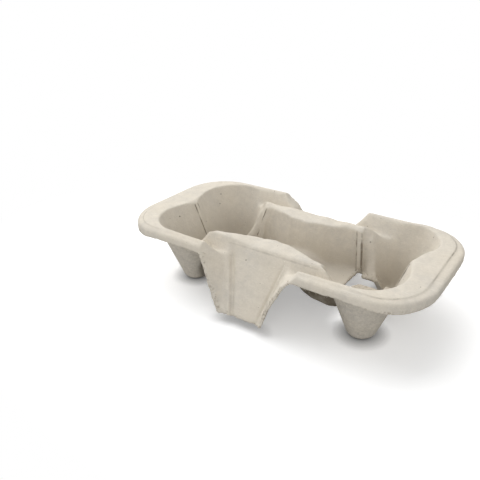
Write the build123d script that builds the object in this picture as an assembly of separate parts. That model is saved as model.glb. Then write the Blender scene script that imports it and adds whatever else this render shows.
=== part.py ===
from build123d import *
import math
import os

# Two-cup carrier, one sheet of moulded paper pulp. Millimetres, +X along the row of cups, +Z up,
# origin on the floor at the middle of the carrier. It stands on four hollow feet.

# The sheet
wall = 2.0

# The rim: a flange with rounded shoulders and a short skirt that flares towards its trimmed edge
height = 43.3
rim_length = 211.0
rim_width = 101.6
rim_corner = 31.0
shoulder_radius = 3.2
skirt_depth = 6.2
skirt_draft = 12.0
rim_band_ends = 6.6
rim_band_sides = 3.6
rim_step = 0.8

# The two cup wells, which meet over a saddle
floor_height = 10.3
saddle_height = 19.5
saddle_crest = 7.0
saddle_run = 20.0
well_rounding = 3.0
well_at_rim = [(62.0, 42.0), (53.0, 41.5), (42.0, 28.3), (29.0, 25.2), (13.0, 19.0)]
well_at_floor = [(61.0, 16.7), (48.0, 16.5), (42.5, 22.8), (30.0, 21.5), (13.0, 14.4)]
well_floor_middle = 13.0

# The noses, which part the two lobes at each end of the carrier and have a narrow rib
nose_at_rim = 82.0
nose_at_floor = 70.5
nose_half_width = 1.0
nose_rib_width = 2.6
nose_rib_reach = 1.2

# The ridges that part the wells from the sides, and the upright ribs that grip the cups
ridge_drop = 2.5
ridge_outer = 30.8
ridge_inner = 17.8
ridge_end = 38.5
ridge_fall = 6.0
rib_place = 36.6
rib_width = 3.6
rib_reach = 2.6
rib_lean = 3.8
rib_at_rim = 27.8
rib_at_floor = 22.2
rib_angle = 70.0

# The feet, four hollow cones that widen upwards into the round lobes of the wells
foot_x = 63.2
foot_y = 24.0
foot_base_radius = 6.0
foot_rounding = 3.0
lobe_x = 63.5
lobe_y = 21.0
lobe_radius = 23.8

# The chutes, cut-away sides with a sloping panel between two wings
chute_slope = 37.5
chute_half_width = 27.4
chute_narrowing = 0.36
wing_flare = 0.34
panel_recess = 1.5
recess_start = 10.0
recess_run = 3.0
pilaster_width = 3.8
hem_depth = 38.2

# The troughs that lead from the wells over a low ledge to the chutes
trough_start = 20.0
trough_end = 57.0
trough_depth_out = 9.0
trough_depth_in = 11.0
trough_floor_out = 39.0
trough_floor_in = 39.5
trough_lip_out = 45.5
trough_lip_in = 44.5

# The rough slots in the well floors, beside the pad that the cup stands on
slot_from = 39.4
slot_to = 62.5
slot_near = 6.8
slot_far = 15.8
slot_arm_width = 4.4
slot_arm_far = 20.8
slot_rounding = 1.5
pad_corner = 4.0

# Room for the cutting solids to pass the sheet
beyond = 15.0
trim_margin = 0.4


def four_fold(points):
    # A closed outline from its first quadrant, listed from the X side round to the Y side
    left = [(-x, y) for x, y in reversed(points) if x > 0]
    top = points + left
    bottom = [(x, -y) for x, y in reversed(top)]
    return top + bottom


def rounded_face(points, radius):
    outline = make_face(Polyline(*points, close=True))
    return fillet(outline.vertices(), radius)


def in_all_quarters(quarter):
    half = quarter + mirror(quarter, about=Plane.XZ)
    return half + mirror(half, about=Plane.YZ)


def on_both_sides(side):
    return side + mirror(side, about=Plane.XZ)


def panel_at(depth, deeper):
    # How far out the sloping panel lies, this far below the rim
    slope = math.tan(math.radians(chute_slope))
    return ridge_outer + slope * (depth - ridge_drop) - deeper / math.cos(math.radians(chute_slope))


def envelope(inset):
    # The outer form of the carrier: a flaring block with a raised top inside the rim band
    block = RectangleRounded(rim_length - 2 * inset, rim_width - 2 * inset, rim_corner - inset)
    block = Pos(0, 0, height - rim_step - inset) * block
    block = extrude(block, height + beyond, dir=(0, 0, -1), taper=-skirt_draft)
    shoulder = block.faces().sort_by(Axis.Z)[-1].edges()
    block = fillet(shoulder, shoulder_radius - inset)
    long = rim_length - 2 * (rim_band_ends + inset)
    wide = rim_width - 2 * (rim_band_sides + inset)
    top = RectangleRounded(long, wide, rim_corner - rim_band_ends - inset)
    top = extrude(Pos(0, 0, height - inset) * top, 1.5 * rim_step, dir=(0, 0, -1), taper=-45)
    return block + top


def lobe_at(level):
    # Centre and radius of a foot's cone at this height
    share = (level - wall) / (height - wall)
    x = foot_x + share * (lobe_x - foot_x)
    y = foot_y + share * (lobe_y - foot_y)
    return x, y, foot_base_radius + share * (lobe_radius - foot_base_radius)


def flank_end(nose, level):
    # Where a straight flank that starts at the nose touches the lobe
    x, y, radius = lobe_at(level)
    over = nose - x
    down = nose_half_width - y
    turn = math.atan2(down, over) + math.acos(radius / math.hypot(over, down))
    return x + radius * math.cos(turn), y + radius * math.sin(turn)


def wells(growth):
    # Both wells as one tapering hollow
    floor = floor_height + wall
    at_rim = four_fold(
        [(nose_at_rim, nose_half_width), flank_end(nose_at_rim, height)] + well_at_rim + [(0.0, ridge_inner)])
    at_floor = four_fold(
        [(nose_at_floor, nose_half_width), flank_end(nose_at_floor, floor)] + well_at_floor
        + [(0.0, well_floor_middle)])
    upper = offset(rounded_face(at_rim, well_rounding), growth)
    lower = offset(rounded_face(at_floor, well_rounding), growth)
    lower = Pos(0, 0, floor - growth) * lower
    hollow = loft([lower, Pos(0, 0, height) * upper], ruled=True)
    return hollow + extrude(Pos(0, 0, height) * upper, beyond)


def saddle(inset):
    # The hump between the wells, along Y
    floor = floor_height + wall
    profile = make_face(Polyline(
        (-2 * saddle_run, -beyond), (-2 * saddle_run, floor), (-saddle_run, floor),
        (-saddle_crest, saddle_height), (saddle_crest, saddle_height),
        (saddle_run, floor), (2 * saddle_run, floor), (2 * saddle_run, -beyond), close=True))
    bends = profile.vertices().filter_by(lambda v: abs(v.X) <= saddle_run)
    profile = fillet(bends, saddle_crest)
    profile = offset(profile, -inset) if inset else profile
    return extrude(Plane.XZ * profile, rim_width / 2 + beyond, both=True)


def ribs():
    # Upright ribs, two on each side wall of a well
    top = height - ridge_drop
    section = Trapezoid(rib_width + 2, 2 * rib_reach, rib_angle)
    at_top = Pos(rib_place, rib_at_rim, top) * section
    at_floor = Pos(rib_place + rib_lean, rib_at_floor, floor_height) * section
    return in_all_quarters(loft([at_floor, at_top]))


def nose_ribs():
    # One narrow rib down the middle of each end wall
    section = Rectangle(2 * nose_rib_reach, nose_rib_width)
    at_top = Pos(nose_at_rim, 0, height - rim_step) * section
    at_floor = Pos(nose_at_floor, 0, floor_height + wall) * section
    rib = loft([at_floor, at_top])
    return rib + mirror(rib, about=Plane.YZ)


def feet(growth):
    # Hollow cones that lean in towards the middle of the lobes
    low = Pos(foot_x, foot_y, wall - growth) * Circle(foot_base_radius + growth)
    high = Pos(lobe_x, lobe_y, height) * Circle(lobe_radius + growth)
    cone = loft([low, high])
    cone = fillet(cone.edges().sort_by(Axis.Z)[0], foot_rounding + growth)
    return in_all_quarters(cone + extrude(high, beyond))


def chute_section(depth, deeper, narrower):
    inner = panel_at(depth, deeper)
    outer = rim_width / 2 + 2 * beyond
    half = chute_half_width - chute_narrowing * depth - narrower
    half_out = half + wing_flare * (outer - inner)
    corners = [(-half, inner), (half, inner), (half_out, outer), (-half_out, outer)]
    return Pos(0, 0, height - depth) * make_face(Polyline(*corners, close=True))


def chute(growth, lowest=hem_depth + 1):
    # The open side above the panel, between the wings
    levels = [lowest, -beyond]
    sections = [chute_section(depth, growth, -growth) for depth in levels]
    return on_both_sides(loft(sections, ruled=True))


def recess(growth):
    # The panel lies a little deeper between its two pilasters, from below the troughs on
    full = recess_start + recess_run
    levels = [(hem_depth + 1, panel_recess), (full, panel_recess), (recess_start, 0.0)]
    sections = [chute_section(depth, deeper + growth, pilaster_width - growth) for depth, deeper in levels]
    return on_both_sides(loft(sections, ruled=True))


def trough_section(place, depth, floor_to, lip, growth):
    low = height - depth - growth
    high = height + beyond
    rise = (lip - floor_to) / depth
    corners = [
        (panel_at(depth, growth), low),
        (floor_to + growth * 0.6, low),
        (lip + rise * beyond + growth, high),
        (panel_at(-beyond, growth), high),
    ]
    return Plane.YZ.offset(place) * make_face(Polyline(*corners, close=True))


def troughs(growth):
    outer = trough_section(trough_start, trough_depth_out, trough_floor_out, trough_lip_out, growth)
    inner = trough_section(trough_end, trough_depth_in, trough_floor_in, trough_lip_in, growth)
    return in_all_quarters(loft([outer, inner], ruled=True))


def ridge_lowering(growth):
    # The ridges lie lower than the rim, and fall off to the troughs at their ends
    low = height - ridge_drop - growth
    foot = height - trough_depth_in - growth
    far = ridge_end + ridge_fall
    profile = make_face(Polyline(
        (-ridge_end, low), (ridge_end, low), (far, foot), (far, height + beyond),
        (-far, height + beyond), (-far, foot), close=True))
    return extrude(Plane.XZ * profile, ridge_outer + growth, both=True)


def form(growth):
    # All that lies under one face of the sheet: the upper face with no growth, the lower with the wall
    body = envelope(growth) - wells(growth)
    body = body + (saddle(growth) & envelope(growth))
    body = body - feet(growth)
    if growth == 0:
        body = body + ribs() + nose_ribs()
    return body - ridge_lowering(growth) - chute(growth) - recess(growth) - troughs(growth)


def kept_by_trimming():
    # The rim and its skirt, all that lies inside the skirt, and the wings and panels down to their hems
    centred = (Align.CENTER, Align.CENTER, Align.MIN)
    top = Box(2 * rim_length, 2 * rim_width, beyond + skirt_depth, align=centred)
    top = Pos(0, 0, height - skirt_depth) * top
    panel = Box(2 * (chute_half_width - chute_narrowing * hem_depth), 2 * rim_width, hem_depth, align=centred)
    panel = Pos(0, 0, height - hem_depth) * panel
    return top + envelope(wall + trim_margin) + chute(wall, hem_depth) + panel


def slots():
    # One slot across each well, from rib to rib, with an arm along each side of the cup's pad
    pad = slot_from + slot_arm_width
    half = [
        (pad, slot_near - pad_corner), (pad + pad_corner, slot_near), (slot_to, slot_near), (slot_to, slot_far),
        (pad, slot_far), (pad, slot_arm_far), (slot_from, slot_arm_far),
    ]
    outline = half + [(x, -y) for x, y in reversed(half)]
    slot = extrude(rounded_face(outline, slot_rounding), floor_height + 4 * wall)
    return slot + mirror(slot, about=Plane.YZ)


def cup_carrier():
    sheet = (form(0) & kept_by_trimming()) - form(wall)
    return sheet - slots()


os.makedirs("parts", exist_ok=True)
carrier = cup_carrier()
carrier.label = "cup_carrier"
export_step(carrier, "parts/cup_carrier.step")
print("cup_carrier", len(carrier.solids()), "solid", carrier.bounding_box(), round(carrier.volume))
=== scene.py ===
import math

import bmesh
import bpy
import numpy as np
from mathutils import Matrix, Vector, noise


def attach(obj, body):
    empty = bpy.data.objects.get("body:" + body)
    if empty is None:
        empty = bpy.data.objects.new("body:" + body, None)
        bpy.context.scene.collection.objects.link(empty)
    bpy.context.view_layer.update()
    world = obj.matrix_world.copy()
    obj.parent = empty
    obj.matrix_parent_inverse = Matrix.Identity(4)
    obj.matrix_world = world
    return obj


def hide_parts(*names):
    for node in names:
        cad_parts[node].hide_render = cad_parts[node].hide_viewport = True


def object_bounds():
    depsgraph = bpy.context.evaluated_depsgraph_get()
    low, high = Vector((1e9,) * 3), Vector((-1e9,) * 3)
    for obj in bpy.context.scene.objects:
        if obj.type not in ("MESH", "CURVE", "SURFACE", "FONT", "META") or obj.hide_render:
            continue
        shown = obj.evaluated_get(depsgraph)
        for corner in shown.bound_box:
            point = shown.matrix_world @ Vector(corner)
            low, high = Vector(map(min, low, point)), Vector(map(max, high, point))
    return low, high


noise.seed_set(11)       # the torn edges come out the same on every run
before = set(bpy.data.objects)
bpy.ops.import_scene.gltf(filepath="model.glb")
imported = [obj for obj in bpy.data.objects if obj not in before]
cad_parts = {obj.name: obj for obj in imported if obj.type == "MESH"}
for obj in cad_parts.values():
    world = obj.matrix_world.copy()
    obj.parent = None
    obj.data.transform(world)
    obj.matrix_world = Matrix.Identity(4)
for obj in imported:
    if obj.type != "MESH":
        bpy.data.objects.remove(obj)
cadLow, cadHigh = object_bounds()
rimHeight = cadHigh.z
rimTop = rimHeight * 1000
print("frame loaded, rim at", round(rimHeight, 4))


# small helpers for node trees

def addNode(tree, kind, **settings):
    node = tree.nodes.new(kind)
    for name, value in settings.items():
        setattr(node, name, value)
    return node


def feed(tree, socket, value):
    # a number or vector is set on the socket, anything else is linked to it
    if isinstance(value, (int, float, tuple)):
        socket.default_value = value
    else:
        tree.links.new(value, socket)


def newMaterial(name):
    material = bpy.data.materials.new(name)
    material.use_nodes = True
    tree = material.node_tree
    tree.nodes.clear()
    output = addNode(tree, "ShaderNodeOutputMaterial")
    return material, tree, output


def noiseNode(tree, coords, size, detail=3.0, rough=0.55):
    texture = addNode(tree, "ShaderNodeTexNoise")
    texture.inputs["Scale"].default_value = 1.0 / size
    texture.inputs["Detail"].default_value = detail
    texture.inputs["Roughness"].default_value = rough
    tree.links.new(coords, texture.inputs["Vector"])
    return texture.outputs["Fac"]


def mapRange(tree, value, low, high, toLow=0.0, toHigh=1.0):
    node = addNode(tree, "ShaderNodeMapRange")
    for name, number in (("From Min", low), ("From Max", high), ("To Min", toLow), ("To Max", toHigh)):
        node.inputs[name].default_value = number
    tree.links.new(value, node.inputs["Value"])
    return node.outputs["Result"]


def mathNode(tree, operation, first, second=0.0):
    node = addNode(tree, "ShaderNodeMath", operation=operation)
    feed(tree, node.inputs[0], first)
    feed(tree, node.inputs[1], second)
    return node.outputs["Value"]


def times(tree, first, second):
    return mathNode(tree, "MULTIPLY", first, second)


def vectorNode(tree, operation, first, second=(0.0, 0.0, 0.0)):
    node = addNode(tree, "ShaderNodeVectorMath", operation=operation)
    feed(tree, node.inputs[0], first)
    feed(tree, node.inputs[1], second)
    return node.outputs["Value" if operation in ("LENGTH", "DOT_PRODUCT", "DISTANCE") else "Vector"]


def scaledVector(tree, vector, share):
    node = addNode(tree, "ShaderNodeVectorMath", operation="SCALE")
    node.inputs[0].default_value = vector
    tree.links.new(share, node.inputs["Scale"])
    return node.outputs["Vector"]


def splitNode(tree, vector):
    node = addNode(tree, "ShaderNodeSeparateXYZ")
    tree.links.new(vector, node.inputs["Vector"])
    return node.outputs["X"], node.outputs["Y"], node.outputs["Z"]


def mixColour(tree, share, first, second):
    node = addNode(tree, "ShaderNodeMix", data_type="RGBA")
    feed(tree, node.inputs["Factor"], share)
    feed(tree, node.inputs[6], first)
    feed(tree, node.inputs[7], second)
    return node.outputs[2]


def objectPlace(tree):
    return addNode(tree, "ShaderNodeTexCoord").outputs["Object"]


def attributeNode(tree, name):
    return addNode(tree, "ShaderNodeAttribute", attribute_name=name).outputs["Fac"]


def mattShader(tree, output, colour, look):
    shader = addNode(tree, "ShaderNodeBsdfPrincipled")
    shader.inputs["Roughness"].default_value = look["roughness"]
    shader.inputs["Specular IOR Level"].default_value = look["specular"]
    tree.links.new(colour, shader.inputs["Base Color"])
    tree.links.new(shader.outputs["BSDF"], output.inputs["Surface"])
    return shader


# the carrier's sheet, in mm except where metres are named
# most pairs are where a soft step starts and ends, and depths are counted down from the rim

sheet = {
    "voxel": 0.0005,                            # metres
    "mergeGap": 1e-6,                           # metres
    "meltRounds": 60,                           # rounds the moulded bends
    "softRounds": 2,                            # takes the last sharpness off every edge
    "relaxStep": 0.5,
    "triangles": 190000,
    "skirtDrop": 6.2, "hemDrop": 38.2, "ridgeDrop": 2.5,
    "ridgeInner": 18.5, "ridgeOuter": 30.8,
    "rimHalf": (98.9, 47.2), "rimCorner": 24.4,  # the line that runs round the rim
    "slotLow": (37.5, 0.0, 8.5), "slotHigh": (64.5, 22.5, 14.5),
    "ribTop": (36.6, 25.2, 40.8), "ribFoot": (40.4, 19.6, 10.3),
    "noseTop": (79.0, 0.0, 35.0), "noseFoot": (70.6, 0.0, 12.3),

    # trimmed edges
    "rimMargin": 1.0, "pastRim": (0.0, 1.5),
    "skirtEdge": (1.5, 0.3),
    "wingEdge": (1.6, 0.3), "wingReach": 37, "wingTop": 5,
    "wingLine": (50.4, 0.2126),                 # from the middle, and out per mm of depth
    "hemEdge": (1.5, 0.2), "hemFrom": 50,
    "slotMargin": 0.01, "slotShare": 0.8,

    # what is kept from melting
    "ribSide": (2.4, 6.5), "leftRibMelt": 0.7, "noseGap": (1.8, 5.5),
    "bendAlong": (62.0, 56.0), "bendInner": (13.0, 17.0), "bendOuter": (46.5, 44.0),
    "noseSide": (7.0, 3.0), "noseFrom": (73.0, 77.0), "noseTo": (92.0, 86.0),
    "keepRim": 0.88, "rimDepth": (5.5, 3.5),
    "keepLine": 0.9, "lineSide": (2.2, 0.8), "topDepth": (3.5, 2.0),
    "keepPanel": 0.30, "panelAlong": (28.0, 26.0), "panelAcross": (29.0, 31.0), "panelDown": (8.0, 10.0),
    "keepBrow": 0.7, "browSide": (4.0, 2.0), "ridgeAlong": (43.0, 39.0), "ridgeDown": (7.0, 5.0),
    "keepFoot": 0.1, "footUp": (0.0, 5.0),
    "keepTrim": 0.92, "trimSpread": 1.6,

    # dried and torn pulp
    "waveSize": 26.0, "waveHeight": 0.30,       # the sheet warps a little as it dries
    "lumpSize": 4.2, "lumpHeight": 0.07,
    "unevenSize": 9.0, "unevenHeight": 0.75, "unevenStretch": (1.0, 0.35, 0.35),   # brows of the ridges
    "browAlong": (46.0, 40.0), "browInner": (16.0, 18.0), "browOuter": (36.0, 31.0), "browDown": (9.0, 4.0),
    "tearSize": 2.8, "tearReach": 0.36, "fineTear": 0.35, "fineTearShare": 0.6,
    "levelFoot": (0.0, 4.0),                    # the feet stay level on the floor

    # ridge ends, skirt ends and one lobe
    "ridgeTaper": 3.0,                          # how far the ridges drop towards their inner ends
    "taperAlong": (28.0, 41.0), "taperOuter": (29.5, 24.0), "taperInner": (14.0, 20.0),
    "taperDown": (13.0, 7.0), "taperTo": 46,
    "endTuck": 2.1, "tuckAlong": (85.0, 104.0), "tuckPast": 1.5,      # the skirt flares less at its ends
    "endDrop": 2.6, "dropAlong": (70.0, 98.0),                        # and hangs lower there
    "dropFrom": 2.0, "dropTo": 9, "dropPast": 0.8,
    "deepLobe": (63.5, 21.0), "lobeReach": 2.8,  # one lobe is drawn further into its corner
    "lobeFrom": (8.0, 20.0), "lobeTo": (32.0, 25.0), "lobeUp": (12.0, 30.0),
    "lobeTurnFrom": (-25.0, 10.0), "lobeTurnTo": (95.0, 60.0),        # degrees
    "endLift": (2.0, -0.5),                     # the left end of the near ridge, the same end of the far one
    "liftInner": (14.0, 19.0), "liftOuter": (36.0, 31.0), "liftDown": (16.0, 7.0),
    "liftFrom": (-8.0, -34.0), "liftTo": (-47.0, -41.0),

    # panels
    "panelSlope": 37.5,                         # degrees
    "panelFrom": 30,
    "recess": 1.5, "recessStart": 10.0, "recessRun": 3.0, "recessEdge": (0.3, -0.3), "pilaster": 3.8,
    "chuteHalf": 27.4, "chuteNarrowing": 0.36,
    "leftGroove": (21.6, 0.520), "rightGroove": (16.7, 0.190),   # from the middle, and in per mm of depth
    "grooveFrom": 9.7, "grooveTop": (6.0, 11.0), "grooveSide": (29.0, 26.0),
    "leftHump": (1.0, 2.4), "rightHump": (-0.4, 0.7), "stripHump": (-1.8, 2.6),   # middle and spread
    "rightShare": 0.6, "grooveDepth": 1.25, "stripHeight": 0.8,
    "fieldLeft": (-0.6, 0.9), "fieldRight": (0.6, -0.9), "fieldDepth": 0.45,
    "wingTuck": 4.0,                            # one wing of each panel stands closer in than the other
    "wingOut": (32.0, 37.0), "wingDown": (2.0, 10.0), "wingLow": (24.0, 38.0), "wingEase": 0.6,
    "wingFrom": (-1.0, 8.0), "wingTo": (46.0, 35.0),

    # where painted shade lies low in the wells and under the well floors, and where the wire side is coarse
    "wellEye": (0.048, 0.0, 0.060), "eyeReach": 0.05,   # metres, what faces this place lies inside a well
    "facing": (-0.05, 0.15),
    "outerFace": (30, 24),                      # beyond both of these nothing is inside a well
    "wellShadeUp": (34.0, 12.0), "wellShadeAcross": (44.0, 38.0),
    "underFrom": (14.0, 20.0), "underTo": (58.0, 52.0), "underAcross": (33.0, 30.0), "underUp": (26.0, 16.0),
    "coarseUp": (38.0, 34.0), "smoothAlong": (36.0, 33.0), "smoothAcross": (28.0, 31.0),

    # lines of painted shade in the creases
    "ribLine": 1.85, "ribLineFrom": 0.07,
    "leftRibLine": [(-36.0, 25.0, 40.3), (-44.2, 22.4, 15.0)],
    "noseLine": [(80.9, 1.5, 40.5), (70.6, 1.5, 15.3)],
    "browLineDrop": 1.9, "browLineOut": 32.3, "browLineEnd": 38.0,
    "grooveLine": [(-20.6, -36.4, 33.2), (-6.6, -57.0, 6.3)],
}


# pulp finish, in metres
# a tone, mix, shade or fade has the two ends of a noise, and what they become if that isn't 0 and 1

pulpLook = {
    "colour": (0.660, 0.608, 0.522, 1.0),
    "greyColour": (0.618, 0.578, 0.512, 1.0),
    "warmColour": (0.690, 0.628, 0.525, 1.0),
    # the crease colour is painted shade for the lines beside the ribs and noses, round the rim, along the
    # brows and in the grooves
    "creaseShadeColour": (0.150, 0.118, 0.085, 1.0),
    "speckColour": (0.120, 0.092, 0.066, 1.0),
    "paleFibre": (0.820, 0.775, 0.690, 1.0),
    # the next two colours are painted shade, low in the wells and under the well floors
    "wellShadeColour": (0.400, 0.354, 0.288, 1.0),
    "underShadeColour": (0.200, 0.170, 0.128, 1.0),
    "edgeColour": (0.300, 0.250, 0.185, 1.0),
    "fibreShare": 0.25, "wellShadeShare": 0.42, "underShadeShare": 0.97, "creaseShadeShare": 0.82,
    "roughness": 0.95, "specular": 0.16,
    "cloudSize": 0.030, "cloudTone": (0.35, 0.68),                    # broad patches of colour
    "mottleSize": 0.0045, "mottleTone": (0.36, 0.66),                 # felted fibre clumps
    "mottleMix": (0.0, 1.0, 0.25, 0.75), "mottleShade": (0.0, 1.0, -0.035, 0.035),
    "grainSize": 0.0011, "grainShade": (0.3, 0.7, 0.965, 1.035),      # single fibres
    "pitSize": 0.0022, "pitShade": (0.36, 0.62, -0.09, 0.05),         # pits on the wire side
    "patchSize": 0.009, "patchTone": (0.3, 0.7, 0.75, 1.2),           # uneven spread of the painted shade in and under the wells
    "tornSize": 0.0016, "tornTone": (0.52, 0.66, 0.0, 0.6),           # dots on the trimmed edges
    "fibreFineness": 0.8, "fibreStretch": (0.16, 1.0, 1.0), "fibreTone": (0.62, 0.74),
    "fibreTurns": [(0.3, 0.9, 0.5), (1.1, -0.4, 2.1)],
    "mottleRelief": 0.9, "fibreRelief": 0.35, "creaseRelief": 2.0, "pitRelief": 14.0,
    "bumpStrength": 0.55, "grainBump": 0.00020,
    "creaseWidth": 0.00062,   # half width of the painted shade lines beside the ribs
    "lineCore": 0.35,         # share of a line's width that is full
    "ribWidths": (1.1, 1.7), "leftRibWidth": 1.15, "noseWidth": 0.9,
    "browLineWidth": 0.00075, "browLineShare": 0.25,
    "grooveLineWidth": 0.0017, "grooveLineShare": 0.30,
    "brokenSize": 0.006, "brokenTone": (0.34, 0.56, 0.25, 1.0),
    "rimLineWidth": 0.00050, "rimLineCore": 0.3, "rimLineShare": 0.62, "rimLineShift": 0.0004,
    "rimLineDrop": (0.0026, 0.0018), "rimLineEnds": (0.066, 0.090),
    "rimFadeSize": 0.034, "rimFade": (0.40, 0.56, 0.15, 1.25),
    "speckSpacing": 0.0034, "speckShare": 0.16, "speckDepth": 0.85, "fineSpeckDepth": 0.4,
    "speckRadius": 0.085, "speckCore": 0.4,     # shares of the spacing and of the radius
    "markSoftness": 2.2,
    "marks": [                # single dark flecks, place and radius in mm
        ((-9.6, -36.6, 32.9), 0.62), ((-4.3, -45.0, 19.9), 0.50), ((9.8, -45.8, 18.8), 0.62),
        ((44.1, 27.3, 32.1), 0.75), ((69.2, 40.6, 34.0), 0.62), ((-83.0, 30.0, 37.7), 0.60),
        ((-81.5, 26.3, 31.3), 0.58), ((-83.2, -15.5, 36.1), 0.75), ((-5.5, -57.0, 6.4), 0.60),
        ((31.0, 44.6, 21.0), 0.60), ((-58.0, 41.0, 30.0), 0.55), ((87.0, -14.0, 33.0), 0.60),
    ],
}


def lineMask(tree, places, start, end, width):
    # 1 on a straight line between two places in mm, 0 beyond its width
    first = Vector(start) / 1000
    run = Vector(end) / 1000 - first
    offset = vectorNode(tree, "SUBTRACT", places, tuple(first))
    along = mathNode(tree, "DIVIDE", vectorNode(tree, "DOT_PRODUCT", offset, tuple(run)), run.length_squared)
    along = mathNode(tree, "MINIMUM", mathNode(tree, "MAXIMUM", along, 0.0), 1.0)
    gap = vectorNode(tree, "DISTANCE", offset, scaledVector(tree, run, along))
    return mapRange(tree, gap, width, width * pulpLook["lineCore"])


def rimShadeLineMask(tree, coords, places, height):
    # the painted shade line that follows the rim, a rounded rectangle in plan
    corner = sheet["rimCorner"] / 1000
    halfLength, halfWidth = [half / 1000 for half in sheet["rimHalf"]]
    flat = vectorNode(tree, "MULTIPLY", places, (1.0, 1.0, 0.0))
    over = vectorNode(tree, "SUBTRACT", flat, (halfLength - corner, halfWidth - corner, 0.0))
    overX, overY, _ = splitNode(tree, over)
    outside = vectorNode(tree, "LENGTH", vectorNode(tree, "MAXIMUM", over, (0.0, 0.0, 0.0)))
    inside = mathNode(tree, "MAXIMUM", overX, overY)
    gap = mathNode(tree, "ADD", outside, mathNode(tree, "MINIMUM", inside, 0.0))
    gap = mathNode(tree, "ABSOLUTE", mathNode(tree, "SUBTRACT", gap, corner + pulpLook["rimLineShift"]))
    width = pulpLook["rimLineWidth"]
    line = mapRange(tree, gap, width, width * pulpLook["rimLineCore"])
    low, high = [rimHeight - drop for drop in pulpLook["rimLineDrop"]]
    line = times(tree, line, mapRange(tree, height, low, high))
    along, _, _ = splitNode(tree, places)
    line = times(tree, line, mapRange(tree, along, *pulpLook["rimLineEnds"]))
    fading = mapRange(tree, noiseNode(tree, coords, pulpLook["rimFadeSize"], 1.0), *pulpLook["rimFade"])
    return times(tree, line, fading)


def speckMask(tree, coords):
    # round dots in a random share of the cells of a foam
    cells = addNode(tree, "ShaderNodeTexVoronoi")
    cells.inputs["Scale"].default_value = 1.0 / pulpLook["speckSpacing"]
    tree.links.new(coords, cells.inputs["Vector"])
    radius = pulpLook["speckRadius"]
    dot = mapRange(tree, cells.outputs["Distance"], radius, radius * pulpLook["speckCore"])
    split = addNode(tree, "ShaderNodeSeparateColor")
    tree.links.new(cells.outputs["Color"], split.inputs["Color"])
    chosen = mathNode(tree, "LESS_THAN", split.outputs["Red"], pulpLook["speckShare"])
    return times(tree, dot, chosen)


def fibreMask(tree, coords, turn):
    # thin streaks, from noise that is drawn out along one direction
    mapping = addNode(tree, "ShaderNodeMapping")
    mapping.inputs["Rotation"].default_value = turn
    mapping.inputs["Scale"].default_value = pulpLook["fibreStretch"]
    tree.links.new(coords, mapping.inputs["Vector"])
    size = pulpLook["grainSize"] * pulpLook["fibreFineness"]
    streak = noiseNode(tree, mapping.outputs["Vector"], size, 1.5, 0.5)
    return mapRange(tree, streak, *pulpLook["fibreTone"])


def creaseMask(tree, coords, height):
    # painted shade lines beside the ribs and noses, round the rim, along the ridge brows and in the left
    # grooves
    places = vectorNode(tree, "ABSOLUTE", coords)
    width = pulpLook["creaseWidth"]
    x, y, z = splitNode(tree, coords)
    rightHalf = mathNode(tree, "GREATER_THAN", x, 0.0)
    sided = addNode(tree, "ShaderNodeCombineXYZ")
    tree.links.new(x, sided.inputs["X"])
    tree.links.new(mathNode(tree, "ABSOLUTE", y), sided.inputs["Y"])
    tree.links.new(z, sided.inputs["Z"])
    top, foot = Vector(sheet["ribTop"]), Vector(sheet["ribFoot"])
    masks = []
    for side, wide in zip((-sheet["ribLine"], sheet["ribLine"]), pulpLook["ribWidths"]):
        first = top.lerp(foot, sheet["ribLineFrom"]) + Vector((side, 0, 0))
        last = foot + Vector((side, 0, 0))
        masks.append(times(tree, lineMask(tree, places, first, last, width * wide), rightHalf))
    leftWidth = width * pulpLook["leftRibWidth"]
    masks.append(lineMask(tree, sided.outputs["Vector"], *sheet["leftRibLine"], leftWidth))
    masks.append(lineMask(tree, places, *sheet["noseLine"], width * pulpLook["noseWidth"]))
    brow = rimTop - sheet["ridgeDrop"] - sheet["browLineDrop"]
    first = (0.0, sheet["browLineOut"], brow)
    last = (sheet["browLineEnd"], sheet["browLineOut"], brow)
    line = lineMask(tree, places, first, last, pulpLook["browLineWidth"])
    masks.append(times(tree, line, pulpLook["browLineShare"]))
    masks.append(times(tree, rimShadeLineMask(tree, coords, places, height), pulpLook["rimLineShare"]))
    for side in (1, -1):
        first, last = [(x * side, y * side, z) for x, y, z in sheet["grooveLine"]]
        line = lineMask(tree, coords, first, last, pulpLook["grooveLineWidth"])
        masks.append(times(tree, line, pulpLook["grooveLineShare"]))
    crease = masks[0]
    for mask in masks[1:]:
        crease = mathNode(tree, "MAXIMUM", crease, mask)
    broken = mapRange(tree, noiseNode(tree, coords, pulpLook["brokenSize"], 2.0), *pulpLook["brokenTone"])
    return times(tree, crease, broken)


def markMask(tree, coords):
    marks = None
    for place, radius in pulpLook["marks"]:
        gap = vectorNode(tree, "DISTANCE", coords, tuple(Vector(place) / 1000))
        mark = mapRange(tree, gap, radius / 1000, radius / (1000 * pulpLook["markSoftness"]))
        marks = mark if marks is None else mathNode(tree, "MAXIMUM", marks, mark)
    return marks


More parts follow.
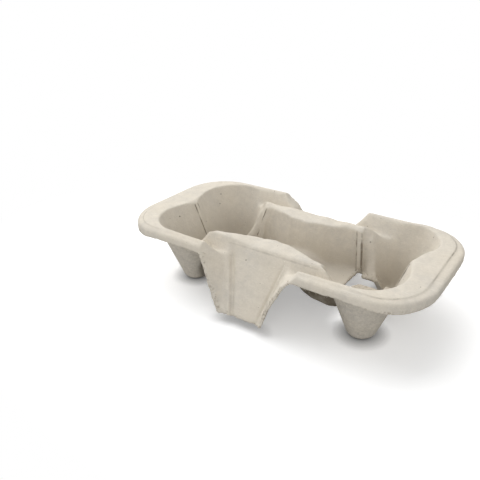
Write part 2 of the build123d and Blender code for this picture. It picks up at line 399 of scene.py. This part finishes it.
def pulpMaterial():
    look = pulpLook
    material, tree, output = newMaterial("pulp")
    coords = objectPlace(tree)
    _, _, height = splitNode(tree, coords)
    clouds = mapRange(tree, noiseNode(tree, coords, look["cloudSize"], 2.0), *look["cloudTone"])
    mottle = mapRange(tree, noiseNode(tree, coords, look["mottleSize"], 4.0, 0.6), *look["mottleTone"])
    grain = noiseNode(tree, coords, look["grainSize"], 3.0, 0.6)
    colour = mixColour(tree, clouds, look["greyColour"], look["warmColour"])
    colour = mixColour(tree, mapRange(tree, mottle, *look["mottleMix"]), colour, look["colour"])
    shade = addNode(tree, "ShaderNodeHueSaturation")
    tree.links.new(colour, shade.inputs["Color"])
    mottleShade = mapRange(tree, mottle, *look["mottleShade"])
    tone = mathNode(tree, "ADD", mottleShade, mapRange(tree, grain, *look["grainShade"]))
    pits = mapRange(tree, noiseNode(tree, coords, look["pitSize"], 4.0, 0.65), *look["pitShade"])
    pits = times(tree, pits, attributeNode(tree, "coarse"))
    tree.links.new(mathNode(tree, "ADD", tone, pits), shade.inputs["Value"])
    colour = shade.outputs["Color"]
    fibres = mathNode(tree, "MAXIMUM", *[fibreMask(tree, coords, turn) for turn in look["fibreTurns"]])
    colour = mixColour(tree, times(tree, fibres, look["fibreShare"]), colour, look["paleFibre"])
    patchy = mapRange(tree, noiseNode(tree, coords, look["patchSize"], 3.0), *look["patchTone"])
    # painted shade, low in the wells and under the well floors
    for name in ("wellShade", "underShade"):
        share = times(tree, times(tree, attributeNode(tree, name), patchy), look[name + "Share"])
        colour = mixColour(tree, share, colour, look[name + "Colour"])
    dots = mapRange(tree, noiseNode(tree, coords, look["tornSize"], 2.0), *look["tornTone"])
    colour = mixColour(tree, times(tree, attributeNode(tree, "trimmed"), dots), colour, look["edgeColour"])
    crease = creaseMask(tree, coords, height)
    # painted shade along the creases; the same mask also dents the bump below
    colour = mixColour(tree, times(tree, crease, look["creaseShadeShare"]), colour, look["creaseShadeColour"])
    fine = times(tree, speckMask(tree, coords), look["fineSpeckDepth"])
    specks = mathNode(tree, "MAXIMUM", fine, markMask(tree, coords))
    colour = mixColour(tree, times(tree, specks, look["speckDepth"]), colour, look["speckColour"])
    shader = mattShader(tree, output, colour, look)
    relief = mathNode(tree, "ADD", times(tree, mottle, look["mottleRelief"]), grain)
    relief = mathNode(tree, "ADD", relief, times(tree, fibres, look["fibreRelief"]))
    relief = mathNode(tree, "SUBTRACT", relief, times(tree, crease, look["creaseRelief"]))
    relief = mathNode(tree, "ADD", relief, times(tree, pits, look["pitRelief"]))
    bump = addNode(tree, "ShaderNodeBump")
    bump.inputs["Strength"].default_value = look["bumpStrength"]
    bump.inputs["Distance"].default_value = look["grainBump"]
    tree.links.new(relief, bump.inputs["Height"])
    tree.links.new(bump.outputs["Normal"], shader.inputs["Normal"])
    return material


pulp = pulpMaterial()
print("pulp material ready")


# shape of the sheet

def ramp(low, high, value):
    # a soft step from 0 to 1, downwards where the first place is the larger
    share = np.clip((value - low) / (high - low), 0.0, 1.0)
    return share * share * (3 - 2 * share)


def zone(*steps, share=1.0):
    # soft steps multiplied, each a value and the name of the places that it runs between
    for value, name in steps:
        share = share * ramp(*sheet[name], value)
    return share


def hump(name, value):
    middle, spread = sheet[name]
    return np.exp(-(value - middle) ** 2 / spread)


def quarter(points):
    # most settings are alike in the four quarters, so places are taken in the first one, in mm
    places = np.abs(points) * 1000
    places[:, 2] = points[:, 2] * 1000
    return places


def lineGap(places, start, end):
    start, end = np.array(start), np.array(end)
    run = end - start
    along = np.clip((places - start) @ run / (run @ run), 0.0, 1.0)
    return np.linalg.norm(places - start - along[:, None] * run, axis=1)


def rimGap(places):
    # signed gap to the line round the rim, in plan
    corner = sheet["rimCorner"]
    over = places[:, :2] - (np.array(sheet["rimHalf"]) - corner)
    outside = np.linalg.norm(np.maximum(over, 0.0), axis=1)
    return outside + np.minimum(over.max(axis=1), 0.0) - corner


def trimShare(places):
    # 1 at the trimmed edges of the skirt, the wings, the hems and the floor slots
    x, y, z = places.T
    drop = rimTop - z
    beyondRim = np.maximum(rimGap(places) - sheet["rimMargin"], 0.0)
    skirt = zone((np.abs(drop - sheet["skirtDrop"]), "skirtEdge"), (beyondRim, "pastRim"))
    start, slant = sheet["wingLine"]
    wing = zone((np.abs(y - (start + slant * drop)), "wingEdge"))
    wing = wing * (x < sheet["wingReach"]) * (drop > sheet["wingTop"])
    hem = zone((np.abs(drop - sheet["hemDrop"]), "hemEdge")) * (y > sheet["hemFrom"])
    low, high = np.array(sheet["slotLow"]), np.array(sheet["slotHigh"])
    slot = np.all((places > low - sheet["slotMargin"]) & (places < high), axis=1) * sheet["slotShare"]
    return np.maximum.reduce([skirt, wing, hem, slot])


def meltShare(places, left, trim):
    # how far each place is rounded: 1 on open bends, little on ribs, rims, lines and edges
    x, y, z = places.T
    drop = rimTop - z
    share = zone((lineGap(places, sheet["ribTop"], sheet["ribFoot"]), "ribSide"))
    share = np.maximum(share, sheet["leftRibMelt"] * left)
    share *= zone((lineGap(places, sheet["noseTop"], sheet["noseFoot"]), "noseGap"))
    bends = zone((x, "bendAlong"), (y, "bendInner"), (y, "bendOuter"))
    bends = np.maximum(bends, zone((y, "noseSide"), (x, "noseFrom"), (x, "noseTo")))
    share *= 1 - zone((drop, "rimDepth"), share=sheet["keepRim"]) * (1 - bends)
    share *= 1 - zone((np.abs(rimGap(places)), "lineSide"), (drop, "topDepth"), share=sheet["keepLine"])
    share *= 1 - sheet["keepPanel"] * zone((x, "panelAlong"), (y, "panelAcross"), (drop, "panelDown"))
    brow = np.minimum(np.abs(y - sheet["ridgeOuter"]), np.abs(y - sheet["ridgeInner"]))
    onRidge = zone((x, "ridgeAlong"), (drop, "ridgeDown"))
    share *= 1 - zone((brow, "browSide"), share=sheet["keepBrow"]) * onRidge
    share *= zone((z, "footUp")) * (1 - sheet["keepFoot"]) + sheet["keepFoot"]
    return share * (1 - sheet["keepTrim"] * np.clip(trim * sheet["trimSpread"], 0.0, 1.0))


def relax(points, edges, share, rounds):
    # each round draws the points towards the middle of their neighbours
    count = np.bincount(edges.ravel(), minlength=len(points))[:, None]
    near, far = edges.T
    for _ in range(rounds):
        total = np.empty_like(points)
        for axis in range(3):
            total[:, axis] = np.bincount(near, points[far, axis], len(points))
            total[:, axis] += np.bincount(far, points[near, axis], len(points))
        points += (total / count - points) * (sheet["relaxStep"] * share)[:, None]


def wander(places, size):
    # smooth noise between about -1 and 1
    return np.array([noise.noise(Vector(place)) for place in places / size])


def roughen(points, normals, trim):
    # waves in the dried sheet, uneven ridge brows, and torn fibre at the trimmed edges
    own = points * 1000
    x, y, z = quarter(points).T
    drop = rimTop - z
    out = wander(own, sheet["waveSize"]) * sheet["waveHeight"]
    out += wander(own, sheet["lumpSize"]) * sheet["lumpHeight"]
    move = normals * out[:, None]
    brow = zone((x, "browAlong"), (y, "browInner"), (y, "browOuter"), (drop, "browDown"))
    rows = np.flatnonzero(brow)
    uneven = wander(own[rows] * sheet["unevenStretch"], sheet["unevenSize"]) * sheet["unevenHeight"]
    move[rows, 2] += brow[rows] * uneven
    for row in np.flatnonzero(trim):
        place = Vector(own[row])
        pull = noise.noise_vector(place / sheet["tearSize"])
        pull += noise.noise_vector(place / (sheet["tearSize"] * sheet["fineTear"])) * sheet["fineTearShare"]
        move[row] += np.array(pull) * (trim[row] * sheet["tearReach"])
    move *= zone((z, "levelFoot"))[:, None]
    points += move / 1000


def pushPanel(points, reach):
    # moves both faces of a panel out along its slope, by mm
    slope = math.radians(sheet["panelSlope"])
    points[:, 1] += np.sign(points[:, 1]) * reach * math.cos(slope) / 1000
    points[:, 2] += reach * math.sin(slope) / 1000


def reshape(points):
    # ridge ends run out to a point, the skirt hangs lower at its ends, one lobe goes deeper into its corner,
    # and the step that starts the panel's field is pushed flat
    x, y, z = quarter(points).T
    drop = rimTop - z
    ends = zone((x, "taperAlong"), (y, "taperOuter"), (y, "taperInner"), (drop, "taperDown"))
    points[:, 2] -= ends * (x < sheet["taperTo"]) * sheet["ridgeTaper"] / 1000
    skirt = zone((x, "tuckAlong")) * ramp(0.0, sheet["skirtDrop"], drop)
    skirt *= rimGap(quarter(points)) > sheet["tuckPast"]
    points[:, 0] -= np.sign(points[:, 0]) * skirt * sheet["endTuck"] / 1000
    deeper = zone((x, "dropAlong")) * ramp(sheet["dropFrom"], sheet["skirtDrop"], drop)
    deeper *= (drop < sheet["dropTo"]) * (rimGap(quarter(points)) > sheet["dropPast"])
    points[:, 2] -= deeper * sheet["endDrop"] / 1000
    spread = points[:, :2] * 1000 - np.array(sheet["deepLobe"])
    reach = np.linalg.norm(spread, axis=1)
    turn = np.degrees(np.arctan2(spread[:, 1], spread[:, 0]))
    bulge = zone((reach, "lobeFrom"), (reach, "lobeTo"), (z, "lobeUp"))
    bulge *= zone((turn, "lobeTurnFrom"), (turn, "lobeTurnTo"))
    points[:, :2] += spread / np.maximum(reach, 1.0)[:, None] * bulge[:, None] * sheet["lobeReach"] / 1000
    half = sheet["chuteHalf"] - sheet["chuteNarrowing"] * drop - sheet["pilaster"]
    start = sheet["recessStart"]
    field = zone((x - half, "recessEdge")) * (y > sheet["panelFrom"])
    field = field * ramp(start, start + sheet["recessRun"], drop)
    pushPanel(points, field * sheet["recess"])


def drawPanel(points):
    # a pressed field between two soft grooves, a raised strip and one wing closer in, which are alike on both
    # panels as each is seen from its own side, and the lift of a ridge's end, which isn't
    own = points * 1000
    side = -np.sign(own[:, 1])
    x = own[:, 0] * side
    across = np.abs(own[:, 1])
    drop = rimTop - own[:, 2]
    onPanel = (across > sheet["panelFrom"]) * zone((drop, "grooveTop"), (np.abs(x), "grooveSide"))
    depth = drop - sheet["grooveFrom"]
    left = x + sheet["leftGroove"][0] - sheet["leftGroove"][1] * depth
    right = x - sheet["rightGroove"][0] + sheet["rightGroove"][1] * depth
    tuck = zone((across, "wingOut"), (drop, "wingDown")) * (1 - sheet["wingEase"] * zone((drop, "wingLow")))
    tuck *= zone((right, "wingFrom"), (x, "wingTo"))
    field = zone((left, "fieldLeft"), (right, "fieldRight"))
    groove = hump("leftHump", left) + sheet["rightShare"] * hump("rightHump", right)
    strip = hump("stripHump", left)
    reach = strip * sheet["stripHeight"] - field * sheet["fieldDepth"] - groove * sheet["grooveDepth"]
    pushPanel(points, onPanel * reach)
    points[:, 0] -= side * tuck * sheet["wingTuck"] / 1000
    brow = zone((across, "liftInner"), (across, "liftOuter"), (drop, "liftDown"))
    brow *= zone((x, "liftFrom"), (x, "liftTo"))
    lift = np.where(side > 0, *sheet["endLift"])
    points[:, 2] += brow * lift / 1000


def shadeShare(points, normals):
    # 1 low down in the wells, for painted shade, 1 under the well floors, also for painted shade,
    # and 1 on the coarse side of the sheet, which dries against the wire
    x, y, z = quarter(points).T
    eye = np.tile(sheet["wellEye"], (len(points), 1))
    eye[:, 0] *= np.sign(points[:, 0])
    inner = zone((np.sum(normals * (eye - points), axis=1) / sheet["eyeReach"], "facing"))
    outerAlong, outerAcross = sheet["outerFace"]
    inner *= 1 - (x < outerAlong) * (y > outerAcross)
    low = zone((z, "wellShadeUp"), (y, "wellShadeAcross"), share=inner)
    underShade = zone((x, "underFrom"), (x, "underTo"), (y, "underAcross"), (z, "underUp"), share=1 - inner)
    smooth = zone((x, "smoothAlong"), (y, "smoothAcross"))
    coarse = zone((z, "coarseUp"), share=1 - inner) * (1 - smooth)
    return np.clip(low, 0, 1), np.clip(underShade, 0, 1), np.clip(coarse, 0, 1)


def readVertices(mesh, name):
    values = np.empty(len(mesh.vertices) * 3)
    mesh.vertices.foreach_get(name, values)
    return values.reshape(-1, 3)


def writePoints(mesh, points):
    mesh.vertices.foreach_set("co", points.ravel())
    mesh.update()


def plainMesh(piece):
    # what the modifiers give becomes the piece's own mesh
    graph = bpy.context.evaluated_depsgraph_get()
    mesh = bpy.data.meshes.new_from_object(piece.evaluated_get(graph))
    piece.modifiers.clear()
    piece.data = mesh
    return mesh


def carrierBody():
    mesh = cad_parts["cup_carrier"].data.copy()
    body = bpy.data.objects.new("carrierBody", mesh)
    bpy.context.scene.collection.objects.link(body)
    work = bmesh.new()
    work.from_mesh(mesh)
    bmesh.ops.remove_doubles(work, verts=work.verts, dist=sheet["mergeGap"])
    work.to_mesh(mesh)
    work.free()
    remesh = body.modifiers.new("remesh", "REMESH")
    remesh.mode = "VOXEL"
    remesh.voxel_size = sheet["voxel"]
    mesh = plainMesh(body)
    points = readVertices(mesh, "co")
    edges = np.empty(len(mesh.edges) * 2, dtype=np.int32)
    mesh.edges.foreach_get("vertices", edges)
    edges = edges.reshape(-1, 2)
    reshape(points)
    places = quarter(points)
    trim = trimShare(places)
    relax(points, edges, meltShare(places, points[:, 0] < 0, trim), sheet["meltRounds"])
    drawPanel(points)
    relax(points, edges, np.ones(len(points)), sheet["softRounds"])
    writePoints(mesh, points)
    roughen(points, readVertices(mesh, "normal"), trim)
    writePoints(mesh, points)
    thin = body.modifiers.new("thin", "DECIMATE")
    thin.ratio = min(1.0, sheet["triangles"] / (2 * len(mesh.polygons)))
    mesh = plainMesh(body)
    points = readVertices(mesh, "co")
    # painted shade low in the wells and under the well floors, and the coarse wire side
    low, underShade, coarse = shadeShare(points, readVertices(mesh, "normal"))
    trim = trimShare(quarter(points))
    for name, values in (("trimmed", trim), ("wellShade", low), ("underShade", underShade), ("coarse", coarse)):
        attribute = mesh.attributes.new(name, "FLOAT", "POINT")
        attribute.data.foreach_set("value", values.astype(np.float32))
    mesh.name = "carrierBody"
    mesh.materials.clear()
    mesh.materials.append(pulp)
    mesh.polygons.foreach_set("use_smooth", [True] * len(mesh.polygons))
    print("sheet faces", len(mesh.polygons))
    return body


body = carrierBody()
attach(body, "root")
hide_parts("cup_carrier")
print("sheet ready")


# loose fibres at the trimmed edges, and flecks of other paper in the sheet, in metres

fuzz = {
    "seed": 7,
    "roughness": 0.95, "specular": 0.15,
    "fibresPerMetre": 420000.0,     # on a square metre of trimmed edge
    "edgePower": 2.0,               # gathers them on the edge itself
    "fibreLength": 0.0016,
    "fibreRadius": 0.00005,
    "fibreSteps": 4, "fibreSides": 3,
    "fibreBend": {"Start": (0.0, 0.0, -0.15), "Middle": (0.30, 0.0, 0.45), "End": (0.05, 0.15, 1.0)},
    "fibreStray": [(-0.9, -0.9, -0.9), (0.9, 0.9, 0.6)],
    "fibreScale": (0.35, 1.15),
    "fibreColour": (0.700, 0.640, 0.540, 1.0),
    "fibreCloud": 0.004, "fibreTone": (0.3, 0.7, 0.85, 1.1),
    "flecksPerMetre": 2600.0,       # on a square metre of sheet
    "fleckRadius": 0.00038,
    "fleckSpin": [(0.0, 0.0, 0.0), (0.0, 0.0, 6.28)],
    "fleckScale": [(0.5, 0.4, 0.10), (1.5, 0.9, 0.16)],
    "darkFleck": (0.200, 0.155, 0.112, 1.0),
    "paleFleck": (0.780, 0.735, 0.650, 1.0),
    "fleckGrain": 0.0008, "fleckTone": (0.3, 0.7, -0.12, 0.12), "fleckMix": (0.40, 0.62),
}


def fuzzMaterial():
    material, tree, output = newMaterial("pulpFibre")
    cloud = noiseNode(tree, objectPlace(tree), fuzz["fibreCloud"])
    shade = addNode(tree, "ShaderNodeHueSaturation")
    shade.inputs["Color"].default_value = fuzz["fibreColour"]
    tree.links.new(mapRange(tree, cloud, *fuzz["fibreTone"]), shade.inputs["Value"])
    mattShader(tree, output, shade.outputs["Color"], fuzz)
    return material


def fleckMaterial():
    material, tree, output = newMaterial("pulpFleck")
    grain = noiseNode(tree, objectPlace(tree), fuzz["fleckGrain"])
    grain = mapRange(tree, grain, *fuzz["fleckTone"])
    share = mathNode(tree, "ADD", attributeNode(tree, "tint"), grain)
    share = mapRange(tree, share, *fuzz["fleckMix"])
    mattShader(tree, output, mixColour(tree, share, fuzz["darkFleck"], fuzz["paleFleck"]), fuzz)
    return material


def newTree(name, inputs):
    tree = bpy.data.node_groups.new(name, "GeometryNodeTree")
    tree.interface.new_socket("Geometry", in_out="INPUT", socket_type="NodeSocketGeometry")
    for label, kind in inputs:
        tree.interface.new_socket(label, in_out="INPUT", socket_type=kind)
    tree.interface.new_socket("Geometry", in_out="OUTPUT", socket_type="NodeSocketGeometry")
    return tree, addNode(tree, "NodeGroupInput"), addNode(tree, "NodeGroupOutput")


def randomValue(tree, kind, limits, seed):
    node = addNode(tree, "FunctionNodeRandomValue", data_type=kind)
    sockets = [socket for socket in node.inputs if socket.enabled]
    named = {socket.name: socket for socket in sockets}
    named["Min"].default_value, named["Max"].default_value = limits
    tree.links.new(seed, named["Seed"])
    return [socket for socket in node.outputs if socket.enabled][0]


def scatterNode(tree, given, density):
    scatter = addNode(tree, "GeometryNodeDistributePointsOnFaces", distribute_method="RANDOM")
    tree.links.new(given.outputs["Geometry"], scatter.inputs["Mesh"])
    tree.links.new(density, scatter.inputs["Density"])
    tree.links.new(given.outputs["Seed"], scatter.inputs["Seed"])
    return scatter


def placeNode(tree, scatter, shape, rotation, scale):
    place = addNode(tree, "GeometryNodeInstanceOnPoints")
    tree.links.new(scatter.outputs["Points"], place.inputs["Points"])
    tree.links.new(shape, place.inputs["Instance"])
    tree.links.new(rotation, place.inputs["Rotation"])
    tree.links.new(scale, place.inputs["Scale"])
    return place.outputs["Instances"]


def finishScatter(tree, output, instances, material):
    realize = addNode(tree, "GeometryNodeRealizeInstances")
    finish = addNode(tree, "GeometryNodeSetMaterial")
    finish.inputs["Material"].default_value = material
    tree.links.new(instances, realize.inputs["Geometry"])
    tree.links.new(realize.outputs["Geometry"], finish.inputs["Geometry"])
    tree.links.new(finish.outputs["Geometry"], output.inputs["Geometry"])


def fibreTree():
    tree, given, output = newTree("looseFibres", [
        ("Density", "NodeSocketFloat"), ("Length", "NodeSocketFloat"), ("Radius", "NodeSocketFloat"),
        ("Seed", "NodeSocketInt")])
    seed = given.outputs["Seed"]
    trimmed = addNode(tree, "GeometryNodeInputNamedAttribute", data_type="FLOAT")
    trimmed.inputs["Name"].default_value = "trimmed"
    onEdge = mathNode(tree, "POWER", trimmed.outputs["Attribute"], fuzz["edgePower"])
    scatter = scatterNode(tree, given, times(tree, onEdge, given.outputs["Density"]))
    bend = addNode(tree, "GeometryNodeCurveQuadraticBezier")
    bend.inputs["Resolution"].default_value = fuzz["fibreSteps"]
    for name, place in fuzz["fibreBend"].items():
        tree.links.new(scaledVector(tree, place, given.outputs["Length"]), bend.inputs[name])
    ring = addNode(tree, "GeometryNodeCurvePrimitiveCircle")
    ring.inputs["Resolution"].default_value = fuzz["fibreSides"]
    tree.links.new(given.outputs["Radius"], ring.inputs["Radius"])
    strand = addNode(tree, "GeometryNodeCurveToMesh")
    strand.inputs["Fill Caps"].default_value = True
    tree.links.new(bend.outputs["Curve"], strand.inputs["Curve"])
    tree.links.new(ring.outputs["Curve"], strand.inputs["Profile Curve"])
    stray = randomValue(tree, "FLOAT_VECTOR", fuzz["fibreStray"], seed)
    turn = addNode(tree, "FunctionNodeAlignRotationToVector", axis="Z")
    tree.links.new(vectorNode(tree, "ADD", scatter.outputs["Normal"], stray), turn.inputs["Vector"])
    scale = randomValue(tree, "FLOAT", fuzz["fibreScale"], seed)
    fibres = placeNode(tree, scatter, strand.outputs["Mesh"], turn.outputs["Rotation"], scale)
    finishScatter(tree, output, fibres, fuzzMaterial())
    return tree


def fleckTree():
    tree, given, output = newTree("pulpFlecks", [
        ("Density", "NodeSocketFloat"), ("Radius", "NodeSocketFloat"), ("Seed", "NodeSocketInt")])
    seed = given.outputs["Seed"]
    scatter = scatterNode(tree, given, given.outputs["Density"])
    chip = addNode(tree, "GeometryNodeMeshIcoSphere")
    chip.inputs["Subdivisions"].default_value = 1
    tree.links.new(given.outputs["Radius"], chip.inputs["Radius"])
    spin = addNode(tree, "FunctionNodeRotateRotation", rotation_space="LOCAL")
    tree.links.new(scatter.outputs["Rotation"], spin.inputs["Rotation"])
    tree.links.new(randomValue(tree, "FLOAT_VECTOR", fuzz["fleckSpin"], seed), spin.inputs["Rotate By"])
    scale = randomValue(tree, "FLOAT_VECTOR", fuzz["fleckScale"], seed)
    flecks = placeNode(tree, scatter, chip.outputs["Mesh"], spin.outputs["Rotation"], scale)
    tint = addNode(tree, "GeometryNodeStoreNamedAttribute", data_type="FLOAT", domain="INSTANCE")
    tint.inputs["Name"].default_value = "tint"
    tree.links.new(flecks, tint.inputs["Geometry"])
    tree.links.new(randomValue(tree, "FLOAT", (0.0, 1.0), seed), tint.inputs["Value"])
    finishScatter(tree, output, tint.outputs["Geometry"], fleckMaterial())
    return tree


def scatterPiece(name, tree, values):
    piece = bpy.data.objects.new(name, body.data.copy())
    bpy.context.scene.collection.objects.link(piece)
    modifier = piece.modifiers.new(name, "NODES")
    modifier.node_group = tree
    for item in tree.interface.items_tree:
        if item.in_out == "INPUT" and item.name in values:
            modifier[item.identifier] = values[item.name]
    mesh = plainMesh(piece)
    mesh.name = name
    mesh.polygons.foreach_set("use_smooth", [True] * len(mesh.polygons))
    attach(piece, "root")
    print(name, "faces", len(mesh.polygons))


scatterPiece("looseFibres", fibreTree(), {
    "Density": fuzz["fibresPerMetre"], "Length": fuzz["fibreLength"], "Radius": fuzz["fibreRadius"],
    "Seed": fuzz["seed"]})
scatterPiece("pulpFlecks", fleckTree(), {
    "Density": fuzz["flecksPerMetre"], "Radius": fuzz["fleckRadius"], "Seed": fuzz["seed"]})
print("fibres and flecks ready")


# studio

studio = {
    "floorSize": 8.0,
    "floorSeen": (0.95, 0.95, 0.95, 1.0),
    "floorBounce": (0.50, 0.50, 0.50, 1.0),
    "floorGlow": 0.30,        # lifts the shadow to the paleness of the photograph
    "contactReach": 0.0095,   # painted contact shadow where the feet and hems come down to the floor
    "contactDepth": 1.6,
    "contactShadowColour": (0.30, 0.30, 0.30, 1.0),
    "contactSamples": 16,
    "fadeFrom": 0.085,        # beyond the shadow the floor turns to plain white
    "fadeTo": 0.17,
    "fadeShape": (0.62, 1.0, 1.0),
    "zenith": 0.42,
    "horizon": 0.56,
    "aim": (0.0, 0.0, 0.02),
    "keyPower": 16.4,
    "keySize": 1.6,
    "keyPlace": (-0.62, 0.34, 0.88),
    "fillPower": 2.8,
    "fillSize": 0.9,
    "fillPlace": (0.50, -0.80, 0.42),
}


def directRays(tree):
    # 1 for what the camera sees, also in a mirror or through glass
    rays = addNode(tree, "ShaderNodeLightPath")
    direct = mathNode(tree, "MAXIMUM", rays.outputs["Is Camera Ray"], rays.outputs["Is Glossy Ray"])
    return mathNode(tree, "MAXIMUM", direct, rays.outputs["Is Transmission Ray"])


def mixShaders(tree, share, first, second):
    node = addNode(tree, "ShaderNodeMixShader")
    tree.links.new(share, node.inputs["Fac"])
    tree.links.new(first, node.inputs[1])
    tree.links.new(second, node.inputs[2])
    return node.outputs["Shader"]


def studioFloor():
    half = studio["floorSize"] / 2
    mesh = bpy.data.meshes.new("studioFloor")
    corners = [(-half, -half, 0), (half, -half, 0), (half, half, 0), (-half, half, 0)]
    mesh.from_pydata(corners, [], [(0, 1, 2, 3)])
    floor = bpy.data.objects.new("studioFloor", mesh)
    bpy.context.scene.collection.objects.link(floor)
    material, tree, output = newMaterial("studioFloor")
    # painted contact shadow: occlusion darkens the floor's colour and glow near the feet and hems
    contact = addNode(tree, "ShaderNodeAmbientOcclusion", samples=studio["contactSamples"])
    contact.inputs["Distance"].default_value = studio["contactReach"]
    close = mathNode(tree, "POWER", contact.outputs["AO"], studio["contactDepth"])
    seen = addNode(tree, "ShaderNodeBsdfDiffuse")
    tree.links.new(mixColour(tree, close, studio["contactShadowColour"], studio["floorSeen"]), seen.inputs["Color"])
    glow = addNode(tree, "ShaderNodeEmission")
    tree.links.new(times(tree, close, studio["floorGlow"]), glow.inputs["Strength"])
    lifted = addNode(tree, "ShaderNodeAddShader")
    tree.links.new(seen.outputs["BSDF"], lifted.inputs[0])
    tree.links.new(glow.outputs["Emission"], lifted.inputs[1])
    white = addNode(tree, "ShaderNodeEmission")
    away = vectorNode(tree, "LENGTH", vectorNode(tree, "MULTIPLY", objectPlace(tree), studio["fadeShape"]))
    fade = mapRange(tree, away, studio["fadeFrom"], studio["fadeTo"])
    pale = mixShaders(tree, fade, lifted.outputs["Shader"], white.outputs["Emission"])
    bounce = addNode(tree, "ShaderNodeBsdfDiffuse")
    bounce.inputs["Color"].default_value = studio["floorBounce"]
    choice = mixShaders(tree, directRays(tree), bounce.outputs["BSDF"], pale)
    tree.links.new(choice, output.inputs["Surface"])
    mesh.materials.append(material)


def studioLight():
    world = bpy.data.worlds.new("studioWorld")
    bpy.context.scene.world = world
    world.use_nodes = True
    tree = world.node_tree
    background = tree.nodes["Background"]
    background.inputs["Color"].default_value = (1.0, 1.0, 1.0, 1.0)
    _, _, up = splitNode(tree, addNode(tree, "ShaderNodeTexCoord").outputs["Generated"])
    sky = mapRange(tree, up, 0.0, 1.0, studio["horizon"], studio["zenith"])
    tree.links.new(mathNode(tree, "MAXIMUM", sky, directRays(tree)), background.inputs["Strength"])
    for name in ("key", "fill"):
        lamp = bpy.data.lights.new(name + "Light", "AREA")
        lamp.energy = studio[name + "Power"]
        lamp.size = studio[name + "Size"]
        light = bpy.data.objects.new(name + "Light", lamp)
        light.location = studio[name + "Place"]
        light.rotation_euler = (Vector(studio["aim"]) - light.location).to_track_quat("-Z", "Y").to_euler()
        bpy.context.scene.collection.objects.link(light)


studioFloor()
studioLight()
print("studio ready")


# camera, placed from the photograph's own perspective

view = {
    "azimuth": 32.25,
    "elevation": 25.5,
    "distance": 0.33256,
    "focalPixels": 515.42,
    "axisPixel": (291.21, 226.32),
    "framePixels": 480,
    "sensor": 36.0,
    "clipStart": 0.01,
}


def photoCamera():
    turn = math.radians(view["azimuth"])
    lift = math.radians(view["elevation"])
    back = Vector((math.sin(turn) * math.cos(lift), -math.cos(turn) * math.cos(lift), math.sin(lift)))
    right = Vector((math.cos(turn), math.sin(turn), 0))
    up = back.cross(right)
    data = bpy.data.cameras.new("photoCamera")
    data.sensor_width = view["sensor"]
    data.lens = view["sensor"] * view["focalPixels"] / view["framePixels"]
    half = view["framePixels"] / 2
    data.shift_x = (half - view["axisPixel"][0]) / view["framePixels"]
    data.shift_y = (view["axisPixel"][1] - half) / view["framePixels"]
    data.clip_start = view["clipStart"]
    camera = bpy.data.objects.new("photoCamera", data)
    place = Vector((0, 0, rimHeight)) + back * view["distance"]
    axes = Matrix((right, up, back)).transposed().to_4x4()
    camera.matrix_world = Matrix.Translation(place) @ axes
    bpy.context.scene.collection.objects.link(camera)
    bpy.context.scene.camera = camera


photoCamera()
bpy.context.scene.view_settings.view_transform = "Standard"
print("camera ready")
